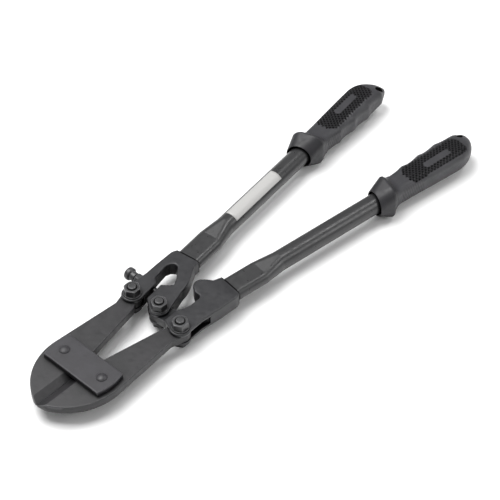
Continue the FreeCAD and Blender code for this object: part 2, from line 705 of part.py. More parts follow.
def lay_along_handle(body, side):
    """Put a piece's own X axis on the handle's axis, from the joint between head and tube."""
    body.Placement = Placement(Vector(0, 0, 0), Rotation(Vector(0, 0, 1), 0))
    stand(body, JOINT_X, outward(side, JOINT_Y))
    body.setExpression("Placement.Rotation.Axis.z", "1")
    body.setExpression("Placement.Rotation.Angle", outward(side, "Sizes.handle_angle"))


def loft_through(body, kind, sections):
    """A ruled skin through sketches that stand one behind the other."""
    loft = body.newObject("PartDesign::" + kind, sections[0].Name + "_" + kind.lower())
    loft.Profile = sections[0]
    loft.Sections = sections[1:]
    loft.Ruled = True
    doc.recompute()


def loft_tube(body, kind, wall):
    """One skin of the tube: a flattened end, a blend, and the round run to the grip's end."""
    blend_end = "(Sizes.tube_flat_length + Sizes.tube_blend_length)"
    flat = ("Sizes.tube_flat_width - 2 * " + wall, "Sizes.tube_flat_height - 2 * " + wall)
    bore = ("Sizes.tube_diameter - 2 * " + wall,) * 2
    sections = []
    for number, (station, size) in enumerate((("0", flat), ("Sizes.tube_flat_length", flat),
                                              (blend_end, bore), ("Sizes.tube_length", bore))):
        section = new_sketch(body, "%s_section_%d" % (kind.lower()[:3], number), "YZ_Plane", station)
        draw_rounded_box(section, size[0], size[1], "((%s) / 2 - 0.1)" % size[1])
        sections.append(section)
    loft_through(body, kind, sections)


def make_tube(side):
    body = new_body(SIDE_NAMES[side] + "_handle_tube")
    loft_tube(body, "AdditiveLoft", "0")
    loft_tube(body, "SubtractiveLoft", "Sizes.tube_wall")
    lay_along_handle(body, side)


def between(name, share):
    """A size of the grip's cross-section, a share of the way from the neck to the full body."""
    return "(Sizes.neck_%s + %s * (Sizes.grip_%s - Sizes.neck_%s))" % (name, share, name, name)


def add_collar(body, side, rim):
    """The flared collar: a cone that leans outward, its rim, and the fall to the neck behind it."""
    crest = "(Sizes.tube_diameter / 2 + Sizes.collar_rise)"
    rings = []
    for number, (station, radius) in enumerate((
            (GRIP_START, crest + " - Sizes.collar_mouth_drop"),
            (rim + " - 1.5", crest),
            (rim, crest),
            (rim + " + 3.5", crest + " - 3.6"),
            (rim + " + 11", "Sizes.neck_height / 2 + 2.6"),
            (rim + " + 20", "Sizes.neck_height / 2 - 0.2"))):
        ring = turned_sketch(body, "collar_ring_%d" % number, station, outward(side, "Sizes.collar_tilt"))
        draw_circle(ring, ("0", "0"), radius)
        rings.append(ring)
    loft_through(body, "AdditiveLoft", rings)


def make_grip(side):
    """A moulded grip: leaning collar with a recessed mouth, body with finger grooves, hanging hole."""
    body = new_body(SIDE_NAMES[side] + "_grip")
    inner_face = "(-Sizes.grip_shift - Sizes.grip_width / 2)"
    rim = "(%s + Sizes.collar_length)" % GRIP_START
    add_collar(body, side, rim)
    sections = []
    for number, (station, share) in enumerate(((rim + " + 7", "0"), (rim + " + 24", "0.08"),
                                               (GRIP_END + " - 95", "0.6"), (GRIP_END + " - 40", "1"),
                                               (GRIP_END, "1"))):
        section = new_sketch(body, "body_section_%d" % number, "YZ_Plane", station)
        draw_rounded_box(section, between("width", share), between("height", share),
                         between("corner", share), outward(side, "-" + between("shift", share)))
        sections.append(section)
    loft_through(body, "AdditiveLoft", sections)
    trim = new_sketch(body, "end_shape")
    far = GRIP_END + " + 5"
    steps = [
        ((GRIP_END + " - 30", "-Sizes.grip_shift + Sizes.grip_width / 2"),),
        ((GRIP_END + " - 9", "-0.5"), (GRIP_END, "-Sizes.hole_shift - 1")),
        ((GRIP_END + " - 3.5", inner_face + " + 3.5"), (GRIP_END + " - 13", inner_face)),
        ((GRIP_END + " - 13", inner_face + " - 4"),),
        ((far, inner_face + " - 4"),),
        ((far, "Sizes.grip_width"),),
        ((GRIP_END + " - 30", "Sizes.grip_width"),),
    ]
    draw_outline(trim, (steps[-1][0][0], outward(side, steps[-1][0][1])), mirrored(side, steps))
    extrude(body, trim, "2 * Sizes.grip_height", "Pocket", both=True)
    slope = "%s - Sizes.end_slope_length" % GRIP_END
    for level, label in (("", "upper"), ("-", "lower")):
        crown = new_sketch(body, label + "_end_slope", "XZ_Plane")
        face = level + "(Sizes.grip_height / 2)"
        beyond = level + "(Sizes.grip_height / 2 + 5)"
        draw_outline(crown, (slope, face), [
            ((slope + " + Sizes.end_slope_length * 0.64", face + " * 0.78"), (GRIP_END, face + " * 0.22")),
            ((far, face + " * 0.22"),),
            ((far, beyond),),
            ((slope, beyond),),
        ])
        extrude(body, crown, "3 * Sizes.grip_width", "Pocket", both=True)
    grooves = new_sketch(body, "finger_grooves")
    for number in range(4):
        station = "%s + Sizes.finger_inset + %d * Sizes.finger_pitch" % (GRIP_START, number)
        depth = "%s - Sizes.finger_radius + Sizes.finger_depth" % inner_face
        draw_circle(grooves, (station, outward(side, depth)), "Sizes.finger_radius")
    extrude(body, grooves, "2 * Sizes.grip_height", "Pocket", both=True)
    front = GRIP_START + " - 6"
    bore = new_sketch(body, "bore", "YZ_Plane", front)
    draw_circle(bore, ("0", "0"), "Sizes.tube_diameter / 2 + Sizes.bore_clearance")
    extrude(body, bore, "Sizes.tube_length + 1 - (%s)" % front, "Pocket", back=True)
    mouth = new_sketch(body, "mouth", "YZ_Plane", front)
    draw_circle(mouth, ("0", "0"), "Sizes.tube_diameter / 2 + Sizes.collar_recess")
    extrude(body, mouth, "Sizes.collar_recess_depth + 6", "Pocket", back=True)
    hanging = new_sketch(body, "hanging_hole")
    draw_circle(hanging, (GRIP_END + " - Sizes.hole_inset", outward(side, "-Sizes.hole_shift")),
                "Sizes.hole_diameter / 2")
    extrude(body, hanging, "2 * Sizes.grip_height", "Pocket", both=True)
    lay_along_handle(body, side)


# ---------------------------------------------------------------- assembly

make_side_plate("top_side_plate", PLATE_BASE, PLATE_BASE + " + Sizes.plate_thickness")
make_side_plate("bottom_side_plate", "-%s - Sizes.plate_thickness" % PLATE_BASE,
                "-%s - Sizes.plate_thickness" % PLATE_BASE)
make_left_head()
make_right_head()
make_adjusting_screw()
make_lock_nut()
for hand in (LEFT, RIGHT):
    make_plate_rivet(hand)
    make_jaw(hand)
    make_tube(hand)
    make_grip(hand)
for pivot, reach, spread in (
        ("left_jaw", JAW_BOLT_X, JAW_BOLT_Y),
        ("right_jaw", JAW_BOLT_X, "-(%s)" % JAW_BOLT_Y),
        ("centre_pivot", CENTRE_X, "0")):
    make_bolt(pivot + "_bolt", reach, spread)
    make_washer(pivot + "_washer", reach, spread)
    make_nut(pivot + "_nut", reach, spread)
doc.recompute()

for item in doc.Objects:
    if "Invalid" in item.State or "Error" in item.State:
        raise ValueError("%s failed: %s" % (item.Label, item.State))
os.makedirs("parts", exist_ok=True)
for body in bodies:
    if body.Shape.isNull() or not body.Shape.isValid() or not body.Shape.Solids:
        raise ValueError("%s has no valid shape" % body.Label)
    body.Shape.exportStep("parts/%s.step" % body.Label)
    print("%-24s %d solid, %.0f mm3" % (body.Label, len(body.Shape.Solids), body.Shape.Volume))
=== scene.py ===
import math

import bmesh
import bpy
from mathutils import Matrix, Vector


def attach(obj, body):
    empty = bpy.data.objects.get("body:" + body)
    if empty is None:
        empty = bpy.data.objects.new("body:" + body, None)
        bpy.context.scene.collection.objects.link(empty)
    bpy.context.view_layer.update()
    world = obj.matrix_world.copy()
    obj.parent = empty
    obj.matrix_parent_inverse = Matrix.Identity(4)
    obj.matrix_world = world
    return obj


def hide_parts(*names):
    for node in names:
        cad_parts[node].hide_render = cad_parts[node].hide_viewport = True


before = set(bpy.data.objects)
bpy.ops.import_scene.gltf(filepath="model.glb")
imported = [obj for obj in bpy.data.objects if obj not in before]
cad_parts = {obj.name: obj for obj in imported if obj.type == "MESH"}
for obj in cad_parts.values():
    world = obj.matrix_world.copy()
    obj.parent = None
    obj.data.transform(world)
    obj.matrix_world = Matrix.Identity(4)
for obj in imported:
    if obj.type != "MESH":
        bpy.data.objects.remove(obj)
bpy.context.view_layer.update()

scene = bpy.context.scene

# ---------------------------------------------------------------- layout, in millimetres

# The part's own layout is measured from the rivet line, the centre line and the jaws' mid-plane.
# The frame's origin lies MIDDLE further along it and LIFT lower, on the floor.
MIDDLE = 253.5513
LIFT = 23.5
JOINT = (194.0, 33.3)
HANDLE_ANGLE = math.radians(7)
TUBE_RADIUS = 12.0
LEFT = 1
RIGHT = -1
PIVOTS = ((110.2, 37.5), (110.2, -37.5), (115.0, 0.0))


def here(x, y, z=0.0):
    """A point of the layout, in the frame."""
    return Vector(((x - MIDDLE) / 1000, y / 1000, (z + LIFT) / 1000))


def handle_frame(side):
    """The place of a handle: X along the tube from its joint with the head, Z up."""
    return Matrix.Translation(here(JOINT[0], side * JOINT[1])) @ Matrix.Rotation(side * HANDLE_ANGLE, 4, "Z")


# ---------------------------------------------------------------- materials, in metres

# Painted shade: where neighbours within GAP_REACH close a surface in, it is painted nearly black and loses
# its shine, standing in for the shade that falls in gaps, crevices and under parts.
GAP_REACH = 0.032
GAP_OPENNESS = (0.25, 0.9)
PAINTED_SHADE_TONE = (0.002, 0.002, 0.002)
PAINTED_SHADE_SHINE = 0.02

# Corners are rounded by CORNER_RADIUS. The more the rounded normal turns from the face's, the lighter the
# edge is painted: partly wear of the coating, partly a painted highlight along the edges.
CORNER_RADIUS = 0.0017
WEAR_AND_HIGHLIGHT_MATCH = (0.985, 0.87)
WEAR_AND_HIGHLIGHT_TONE = (0.12, 0.12, 0.125)

SEAM_FADE = (0.0009, 0.0013)
RING_RADIUS = 0.0054
RING_FADE = (0.0005, 0.0008)
CLOUD_RANGE = (0.35, 0.65)
GLOSS_RANGE = (0.3, 0.7)
GLOSS_SPREAD = 0.07


def new_material(name, colour, roughness):
    """A material of one colour and roughness."""
    material = bpy.data.materials.new(name)
    material.use_nodes = True
    shader = material.node_tree.nodes["Principled BSDF"]
    shader.inputs["Base Color"].default_value = (*colour, 1.0)
    shader.inputs["Roughness"].default_value = roughness
    return material


class Graph:
    """Small helper that adds and links the nodes of one material."""

    def __init__(self, material):
        self.tree = material.node_tree
        self.shader = self.tree.nodes["Principled BSDF"]
        self.coordinates = self.add("ShaderNodeTexCoord").outputs["Object"]

    def add(self, kind, **settings):
        """A new node with its settings."""
        node = self.tree.nodes.new(kind)
        for key, setting in settings.items():
            setattr(node, key, setting)
        return node

    def feed(self, socket, source):
        """Links another node's output to a socket, or gives the socket a value."""
        if hasattr(source, "links"):
            self.tree.links.new(source, socket)
        else:
            socket.default_value = source

    def noise(self, scale, detail, roughness=0.5):
        """Noise that is fixed to the piece."""
        node = self.add("ShaderNodeTexNoise")
        self.feed(node.inputs["Vector"], self.coordinates)
        node.inputs["Scale"].default_value = scale
        node.inputs["Detail"].default_value = detail
        node.inputs["Roughness"].default_value = roughness
        return node.outputs["Fac"]

    def math(self, operation, first, second=0.0):
        """One step of arithmetic."""
        node = self.add("ShaderNodeMath", operation=operation)
        self.feed(node.inputs[0], first)
        self.feed(node.inputs[1], second)
        return node.outputs[0]

    def remap(self, source, low, high, to_low, to_high):
        """The source's range stretched to another range, and cut off at its ends."""
        node = self.add("ShaderNodeMapRange")
        self.feed(node.inputs["Value"], source)
        for name, number in (("From Min", low), ("From Max", high), ("To Min", to_low), ("To Max", to_high)):
            node.inputs[name].default_value = number
        return node.outputs["Result"]

    def blend(self, share, first, second):
        """The first colour where the share is 0, the second where it is 1."""
        node = self.add("ShaderNodeMix", data_type="RGBA")
        self.feed(node.inputs["Factor"], share)
        for socket, colour in ((node.inputs[6], first), (node.inputs[7], second)):
            self.feed(socket, (*colour, 1.0) if isinstance(colour, tuple) else colour)
        return node.outputs[2]

    def clouds(self, first, second, scale, detail, roughness=0.5):
        """Soft clouds of two colours."""
        share = self.remap(self.noise(scale, detail, roughness), *CLOUD_RANGE, 0, 1)
        return self.blend(share, first, second)

    def paint(self, tone, dark=None, shine=0.5):
        """Gives the shader its tone, with painted shade: nearly black and without shine where told so and
        where neighbours close it in.
        """
        node = self.add("ShaderNodeAmbientOcclusion", samples=8)
        node.inputs["Distance"].default_value = GAP_REACH
        # Ambient occlusion turned into painted shade in the base colour.
        painted_shade = self.remap(node.outputs["AO"], *GAP_OPENNESS, 1, 0)
        # The extra mask, where given, is painted toward the same near-black.
        if dark:
            painted_shade = self.math("MAXIMUM", painted_shade, dark)
        self.feed(self.shader.inputs["Specular IOR Level"], self.remap(painted_shade, 0, 1, shine, PAINTED_SHADE_SHINE))
        self.feed(self.shader.inputs["Base Color"], self.blend(painted_shade, tone, PAINTED_SHADE_TONE))

    def gloss(self, scale, detail, low, high):
        """Gives the shader an uneven roughness between two values."""
        uneven = self.remap(self.noise(scale, detail), *GLOSS_RANGE, low, high)
        self.feed(self.shader.inputs["Roughness"], uneven)

    def rounded(self):
        """The normal rounded over the edges, and the share of each edge that is painted lighter, partly as
        wear of the coating and partly as a painted highlight.
        """
        corner = self.add("ShaderNodeBevel", samples=6)
        corner.inputs["Radius"].default_value = CORNER_RADIUS
        face = self.add("ShaderNodeNewGeometry")
        match = self.add("ShaderNodeVectorMath", operation="DOT_PRODUCT")
        self.feed(match.inputs[0], corner.outputs["Normal"])
        self.feed(match.inputs[1], face.outputs["True Normal"])
        return corner.outputs["Normal"], self.remap(match.outputs["Value"], *WEAR_AND_HIGHLIGHT_MATCH, 0, 1)

    def bump(self, height, distance, under=None):
        """The normal roughened by a height, on top of another normal if there is one."""
        node = self.add("ShaderNodeBump")
        node.inputs["Distance"].default_value = distance
        node.inputs["Strength"].default_value = 1.0
        self.feed(node.inputs["Height"], height)
        if under:
            self.feed(node.inputs["Normal"], under)
        return node.outputs["Normal"]


def seam_shade_share(graph):
    """Painted shade of the gap where a tube meets its head: 1 within a millimetre of that line, 0 elsewhere.
    """
    parts = graph.add("ShaderNodeSeparateXYZ")
    graph.feed(parts.inputs[0], graph.coordinates)
    joint = here(*JOINT)
    ahead = graph.math("SUBTRACT", parts.outputs["X"], joint.x)
    along = graph.math("MULTIPLY", ahead, math.cos(HANDLE_ANGLE))
    beside = graph.math("SUBTRACT", graph.math("ABSOLUTE", parts.outputs["Y"]), joint.y)
    station = graph.math("ADD", along, graph.math("MULTIPLY", beside, math.sin(HANDLE_ANGLE)))
    return graph.remap(graph.math("ABSOLUTE", station), *SEAM_FADE, 1, 0)


def ring_shade_share(graph):
    """Painted shade in the narrow groove between a pivot bolt's end and its nut: 1 there, 0 elsewhere."""
    parts = graph.add("ShaderNodeSeparateXYZ")
    graph.feed(parts.inputs[0], graph.coordinates)
    flat = graph.add("ShaderNodeCombineXYZ")
    graph.feed(flat.inputs["X"], parts.outputs["X"])
    graph.feed(flat.inputs["Y"], parts.outputs["Y"])
    nearest = 1.0
    for x, y in PIVOTS:
        pivot = here(x, y)
        reach = graph.add("ShaderNodeVectorMath", operation="DISTANCE")
        graph.feed(reach.inputs[0], flat.outputs[0])
        reach.inputs[1].default_value = (pivot.x, pivot.y, 0)
        nearest = graph.math("MINIMUM", reach.outputs["Value"], nearest)
    offset = graph.math("ABSOLUTE", graph.math("SUBTRACT", nearest, RING_RADIUS))
    return graph.remap(offset, *RING_FADE, 1, 0)


def coated_steel(name, dark, light, roughness, grain, grain_depth, wave_depth=0.0, painted_shade_line=None,
                 shine=0.5, paints_edge_wear_and_highlight=True):
    """Blackened or painted steel: cloudy tone, uneven gloss and a fine grain, its edges painted lighter as
    wear and painted highlight, and painted shade in gaps and along a given line.
    """
    material = new_material(name, light, roughness)
    graph = Graph(material)
    tone = graph.clouds(dark, light, scale=55, detail=4, roughness=0.6)
    corner = None
    if paints_edge_wear_and_highlight:
        # Edges painted lighter: partly wear of the coating, partly a painted highlight.
        corner, wear_and_highlight = graph.rounded()
        tone = graph.blend(wear_and_highlight, tone, WEAR_AND_HIGHLIGHT_TONE)
    # The given line, the shaded seam or bolt groove, is painted with shade as well.
    graph.paint(tone, painted_shade_line(graph) if painted_shade_line else None, shine)
    graph.gloss(scale=160, detail=3, low=roughness - GLOSS_SPREAD, high=roughness + GLOSS_SPREAD)
    normal = graph.bump(graph.noise(scale=grain, detail=2, roughness=0.6), grain_depth, under=corner)
    if wave_depth:
        normal = graph.bump(graph.noise(scale=140, detail=2), wave_depth, under=normal)
    graph.feed(graph.shader.inputs["Normal"], normal)
    return material


def grip_plastic():
    """Soft black plastic, darker where the skin's own points say so: painted shade in the pits and the
    hanging hole, a darker tone on the panels and the collar, and painted shade where neighbours close it in.
    """
    material = new_material("grip_plastic", (0.040, 0.039, 0.044), 0.55)
    graph = Graph(material)
    pit = graph.add("ShaderNodeAttribute", attribute_name="pit").outputs["Fac"]
    # Painted shade in the pits and the hanging hole, and the darker tone of panel and collar, come from the
    # skin's points.
    graph.paint(graph.clouds((0.019, 0.019, 0.022), (0.025, 0.024, 0.028), scale=70, detail=3), pit)
    graph.gloss(scale=220, detail=2, low=0.42, high=0.54)
    grain = graph.noise(scale=1600, detail=2)
    graph.feed(graph.shader.inputs["Normal"], graph.bump(grain, distance=0.00009))
    return material


def label_film():
    """A blank film sticker of one neutral colour."""
    material = new_material("label_film", (0.38, 0.376, 0.368), 0.4)
    graph = Graph(material)
    graph.gloss(scale=120, detail=2, low=0.34, high=0.44)
    grain = graph.noise(scale=260, detail=2)
    graph.feed(graph.shader.inputs["Normal"], graph.bump(grain, distance=0.00004))
    return material


materials = {
    "plate": coated_steel("plate_paint", dark=(0.021, 0.020, 0.023), light=(0.027, 0.026, 0.030),
                          roughness=0.42, grain=1500, grain_depth=0.00004, wave_depth=0.0001, shine=0.38),
    "jaw": coated_steel("jaw_steel", dark=(0.014, 0.014, 0.015), light=(0.020, 0.019, 0.021),
                        roughness=0.40, grain=1300, grain_depth=0.00004, wave_depth=0.00015, shine=0.4),
    "forging": coated_steel("forged_steel", dark=(0.014, 0.014, 0.016), light=(0.020, 0.020, 0.022),
                            roughness=0.38, grain=1400, grain_depth=0.00002, wave_depth=0.00015,
                            painted_shade_line=seam_shade_share, shine=0.42),
    "fastener": coated_steel("black_oxide", dark=(0.022, 0.022, 0.023), light=(0.036, 0.036, 0.038),
                             roughness=0.34, grain=1800, grain_depth=0.00003, painted_shade_line=ring_shade_share),
    "tube": coated_steel("tube_paint", dark=(0.020, 0.020, 0.021), light=(0.024, 0.024, 0.025),
                         roughness=0.33, grain=1200, grain_depth=0.000004, painted_shade_line=seam_shade_share,
                         paints_edge_wear_and_highlight=False),
    "grip": grip_plastic(),
}

# ---------------------------------------------------------------- the CAD's own pieces

# Pieces that aren't listed here are fasteners.
SLOTS = {
    "plate": ("top_side_plate", "bottom_side_plate", "left_plate_rivet", "right_plate_rivet"),
    "jaw": ("left_jaw", "right_jaw"),
    "forging": ("left_handle_head", "right_handle_head"),
    "tube": ("left_handle_tube", "right_handle_tube"),
    "grip": ("left_grip", "right_grip"),
}

# Widths in millimetres of the broken edges. Tubes and grips keep theirs.
EDGE_WIDTHS = {"plate": 0.7, "jaw": 0.7, "forging": 1.0, "fastener": 0.7}
SHARP_ANGLE = math.radians(28)

# Vertices closer together than this, in metres, are joined.
SEAM_GAP = 0.00002


def kind_of(name):
    """The kind of material that a piece is made of."""
    for kind, names in SLOTS.items():
        if name in names:
            return kind
    return "fastener"


def soften_edges(piece, width):
    """Breaks the sharp edges."""
    bevel = piece.modifiers.new("edge", "BEVEL")
    bevel.width = width / 1000
    bevel.segments = 2
    bevel.limit_method = "ANGLE"
    bevel.angle_limit = SHARP_ANGLE
    bevel.harden_normals = True


def dress(name, node):
    """Gives a CAD piece its material. Breaks its edges if its kind has a width and nothing replaces it."""
    kind = kind_of(name)
    node.data.materials.clear()
    node.data.materials.append(materials[kind])
    if kind in EDGE_WIDTHS and name != "right_handle_head":
        weld = node.modifiers.new("weld", "WELD")
        weld.merge_threshold = SEAM_GAP
        soften_edges(node, EDGE_WIDTHS[kind])


for name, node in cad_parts.items():
    dress(name, node)

# ---------------------------------------------------------------- shaping


def new_mesh(name, points, faces):
    """A mesh of points and faces."""
    mesh = bpy.data.meshes.new(name)
    mesh.from_pydata(points, [], faces)
    return mesh


def place_object(name, data):
    """A new object in the scene."""
    piece = bpy.data.objects.new(name, data)
    scene.collection.objects.link(piece)
    return piece


def stack_faces(rows, count):
    """The faces of a closed shape that is made of rows of points, count points to a row."""
    faces = []
    for row in range(rows - 1):
        for step in range(count):
            a = row * count + step
            b = row * count + (step + 1) % count
            faces.append((a, b, b + count, a + count))
    faces.append(tuple(range(count))[::-1])
    faces.append(tuple(range((rows - 1) * count, rows * count)))
    return faces


def close_seams(mesh):
    """Joins the vertices that meet at the borders of the surface patches."""
    shape = bmesh.new()
    shape.from_mesh(mesh)
    bmesh.ops.remove_doubles(shape, verts=shape.verts, dist=SEAM_GAP)
    shape.to_mesh(mesh)
    shape.free()


def cut_away(piece, points, faces):
    """Takes a closed shape away from a piece and keeps the result as the piece's own mesh."""
    cutter = place_object("cutter", new_mesh("cutter", points, faces))
    cut = piece.modifiers.new("cut", "BOOLEAN")
    cut.operation = "DIFFERENCE"
    cut.object = cutter
    cut.solver = "EXACT"
    bpy.context.view_layer.update()
    result = bpy.data.meshes.new_from_object(piece.evaluated_get(bpy.context.evaluated_depsgraph_get()))
    piece.modifiers.clear()
    piece.data = result
    bpy.data.objects.remove(cutter)


def smooth(share):
    """The share kept between 0 and 1, with an easy start and end."""
    share = min(max(share, 0.0), 1.0)
    return share * share * (3 - 2 * share)


def mix(first, second, share):
    """The numbers between those of two lists."""
    return tuple(a + (b - a) * share for a, b in zip(first, second))


# ---------------------------------------------------------------- grips, in millimetres

# Stations are measured along the tube from its joint with the head.
# A cross-section is its outer reach, its inner reach, its half height and the radius of its corners.
GRIP_START = 219.0
CREST_AT = 237.5
NECK_AT = 254.0
FULL_AT = 342.0
GRIP_TIP = 382.0
MOUTH = (15.7, 15.7, 15.7, 15.7)
CREST = (19.8, 19.4, 22.4, 12.6)
NECK = (13.7, 18.6, 12.9, 7.2)
FULL = (16.0, 23.4, 14.9, 9.6)

# Up to its crest the collar widens by FLARE_POWER. From there it falls by RIM_FALL over the share RIM
# of the way to the neck, and then by FALL_POWER.
FLARE_POWER = 0.95
RIM = 0.16
RIM_FALL = 0.08
FALL_POWER = 2.7
COLLAR_TILT = math.tan(math.radians(12.5))
TILT_FADE = (242.0, 260.0)

# The bore, and the stations and radii of the recess in the collar's mouth.
BORE_RADIUS = TUBE_RADIUS + 0.08
BORE_START = 226.0
BORE_END = 353.0
RECESS = ((225.2, 14.2), (220.2, 14.5), (219.2, 14.9))

# Where the end starts to slope, and where the outer and the inner side turn in to the hanging hole.
# HOLE is the station of the hole, its place across the grip and its radius.
SLOPE_AT = 341.0
SLOPE_POWER = 2.2
TIP_BLUNTNESS = 0.2
OUTER_TURN = 344.0
INNER_TURN = 360.0
TURN_POWER = 2.1
HOLE = (370.5, -15.0, 4.5)
HOLE_RIM = 0.35

# The corners stay within these shares of the half height and of the width.
CORNER_OF_HEIGHT = 0.92
CORNER_OF_WIDTH = 0.48

# Stations and heights of the swellings between the fingers, and their reach to either side.
SWELLS = ((279.0, 2.1), (307.0, 1.9), (335.0, 1.8), (366.0, 1.5))
SWELL_BASE = -0.9
SWELL_BEFORE = 11.0
SWELL_AFTER = 7.5
SWELL_POWER = 1.6
SWELL_TIGHTNESS = 1.6

# The panel's near and far station and its two sides. The island's two ends, its middle and half width.
PANEL = (270.0, 361.0, -15.0, 15.5)
PANEL_CORNER = 9.0
ISLAND = (299.0, 338.0, 0.4, 3.2)
ISLAND_MARGIN = 1.3
PIT_PITCH = 5.0
PIT_ROW = 2.9
PIT_DEPTH = 1.5
PIT_LENGTH = 2.15
PIT_WIDTH = 1.6
PIT_WALL = 0.45
PIT_POWER = 1.5
PATTERN_START = 250.0
TOP_BAND = 2.4
LEAST_HALF_HEIGHT = 5

RIBS_END = 286.0
RIB_PITCH = 3.4
RIB_DEPTH = 0.55
RIB_SLANT = 0.35
RIB_FADE = 3
RIB_MARGIN = 2
RIB_INSET = 0.6

# How dark the collar and the ground of the panel are, on the scale on which the painted shade at the bottom
# of a pit is 1.
COLLAR_SHADE = 0.3
COLLAR_SHADE_FADE = (240.0, 252.0)
PANEL_SHADE = 0.6

# Points along each flat face, each rounded corner and each side wall of a cross-section.
FLAT_POINTS = 50
CORNER_POINTS = 8
WALL_POINTS = 14
RING_POINTS = 2 * FLAT_POINTS + 2 * WALL_POINTS + 4 * CORNER_POINTS
HOLE_POINTS = 40
HOLE_FLARE = 3

# The cross-sections stand STATION_STEP apart, and closer and closer over the last FINE_LENGTH.
FIRST_STEPS = (0.0, 0.3, 1.0)
STATION_STEP = 0.62
FINE_LENGTH = 6
FINE_SHARE = 0.14
FINE_STEP = 0.12
LAST_GAP = 0.3


def fade_out(station, ends):
    """1 up to the first of two stations, 0 from the second on."""
    return 1 - smooth((station - ends[0]) / (ends[1] - ends[0]))


def section_sizes(station):
    """Outer reach, inner reach, half height and corner of the grip's cross-section."""
    if station <= CREST_AT:
        share = (station - GRIP_START) / (CREST_AT - GRIP_START)
        return mix(MOUTH, CREST, share ** FLARE_POWER)
    if station <= NECK_AT:
        return mix(CREST, NECK, collar_fall((station - CREST_AT) / (NECK_AT - CREST_AT)))
    run = (station - NECK_AT) / (FULL_AT - NECK_AT)
    outer, inner, half, corner = mix(NECK, FULL, min(0.5 * smooth(run) + 0.5 * run, 1.0))
    inner += finger_swell(station)
    slope = (station - SLOPE_AT) / (GRIP_TIP + TIP_BLUNTNESS - SLOPE_AT)
    if slope > 0:
        half *= math.sqrt(max(1 - slope ** SLOPE_POWER, 0.0))
    outer = reach_near_tip(station, OUTER_TURN, outer)
    inner = -reach_near_tip(station, INNER_TURN, -inner)
    return outer, inner, half, min(corner, half * CORNER_OF_HEIGHT, (outer + inner) * CORNER_OF_WIDTH)


def collar_fall(share):
    """How far the collar has fallen from its crest, 0, to the neck, 1."""
    if share < RIM:
        return RIM_FALL * share / RIM
    return 1 - (1 - RIM_FALL) * ((1 - share) / (1 - RIM)) ** FALL_POWER


def reach_near_tip(station, start, reach):
    """One side of the plan, curving in toward the line of the hanging hole at the tip."""
    run = (station - start) / (GRIP_TIP - start)
    if run <= 0:
        return reach
    return HOLE[1] + (reach - HOLE[1]) * math.sqrt(max(1 - min(run, 1.0) ** TURN_POWER, 0.0))


def finger_swell(station):
    """Four swellings between the fingers on the inner side."""
    swell = SWELL_BASE
    for crest, height in SWELLS:
        behind = station - crest
        width = SWELL_BEFORE if behind < 0 else SWELL_AFTER
        swell += height * math.exp(-abs(behind / width) ** SWELL_POWER * SWELL_TIGHTNESS)
    return swell


def ring(sizes):
    """Points of a rounded box, from the outer end of its top, over the top, down the inner side and back."""
    outer, inner, half, corner = sizes
    points = []
    corners = (
        (outer - corner, half - corner, 0),
        (-inner + corner, half - corner, 90),
        (-inner + corner, -half + corner, 180),
        (outer - corner, -half + corner, 270),
    )
    for number, (across, up, start) in enumerate(corners):
        for step in range(CORNER_POINTS):
            turn = math.radians(start + 90 * step / CORNER_POINTS)
            points.append((across + corner * math.cos(turn), up + corner * math.sin(turn)))
        turn = math.radians(start + 90)
        begin = (across + corner * math.cos(turn), up + corner * math.sin(turn))
        after = corners[(number + 1) % 4]
        finish = (after[0] + corner * math.cos(turn), after[1] + corner * math.sin(turn))
        steps = FLAT_POINTS if number % 2 == 0 else WALL_POINTS
        for step in range(steps):
            points.append(mix(begin, finish, step / steps))
    return points


def in_panel(station, across):
    """Whether a point lies inside the rounded panel and outside its smooth island."""
    near, far, low, high = PANEL
    beside = max(low + PANEL_CORNER - across, across - high + PANEL_CORNER, 0.0)
    along = max(near + PANEL_CORNER - station, station - far + PANEL_CORNER, 0.0)
    if math.hypot(along, beside) > PANEL_CORNER:
        return False
    start, end, middle, half = ISLAND
    nearest = min(max(station, start + half), end - half)
    return math.hypot(station - nearest, across - middle) > half + ISLAND_MARGIN


def pit_share(station, across):
    """How deep a point of the panel lies in one of the staggered pits, 0 to 1."""
    deepest = 0.0
    nearest_row = round(across / PIT_ROW)
    for row in (nearest_row - 1, nearest_row, nearest_row + 1):
        shift = 0.5 * PIT_PITCH * (row % 2)
        centre = round((station - shift) / PIT_PITCH) * PIT_PITCH + shift
        along = abs(station - centre) / PIT_LENGTH
        beside = abs(across - row * PIT_ROW) / PIT_WIDTH
        reach = along ** PIT_POWER + beside ** PIT_POWER
        if reach < 1 and in_panel(centre, row * PIT_ROW):
            deepest = max(deepest, smooth((1 - reach) / PIT_WALL))
    return deepest


def rib_share(station, across, up, sizes):
    """Fine cross ribs on both sides of the neck."""
    outer, inner, half, corner = sizes
    room = half - RIB_MARGIN - abs(up)
    inset = corner * RIB_INSET
    beside = room > 0 and (across > outer - inset or across < -inner + inset)
    if not beside or not PATTERN_START < station < RIBS_END:
        return 0.0
    wave = 0.5 - 0.5 * math.cos(2 * math.pi * (station + up * RIB_SLANT) / RIB_PITCH)
    for distance in (room, station - PATTERN_START, RIBS_END - station):
        wave *= smooth(distance / RIB_FADE)
    return wave


def grip_rows():
    """Station, cross-section and whether it leans: out of the bore, round the mouth and on to the tip."""
    rows = [(BORE_END, (BORE_RADIUS,) * 4, False)]
    for station, radius in ((BORE_START, BORE_RADIUS), *RECESS):
        rows.append((station, (radius,) * 4, True))
    stations = [GRIP_START + step for step in FIRST_STEPS]
    while stations[-1] < GRIP_TIP - LAST_GAP:
        left = GRIP_TIP - stations[-1]
        step = STATION_STEP if left > FINE_LENGTH else max(left * FINE_SHARE, FINE_STEP)
        stations.append(stations[-1] + step)
    for station in stations:
        rows.append((station, section_sizes(station), True))
    return rows


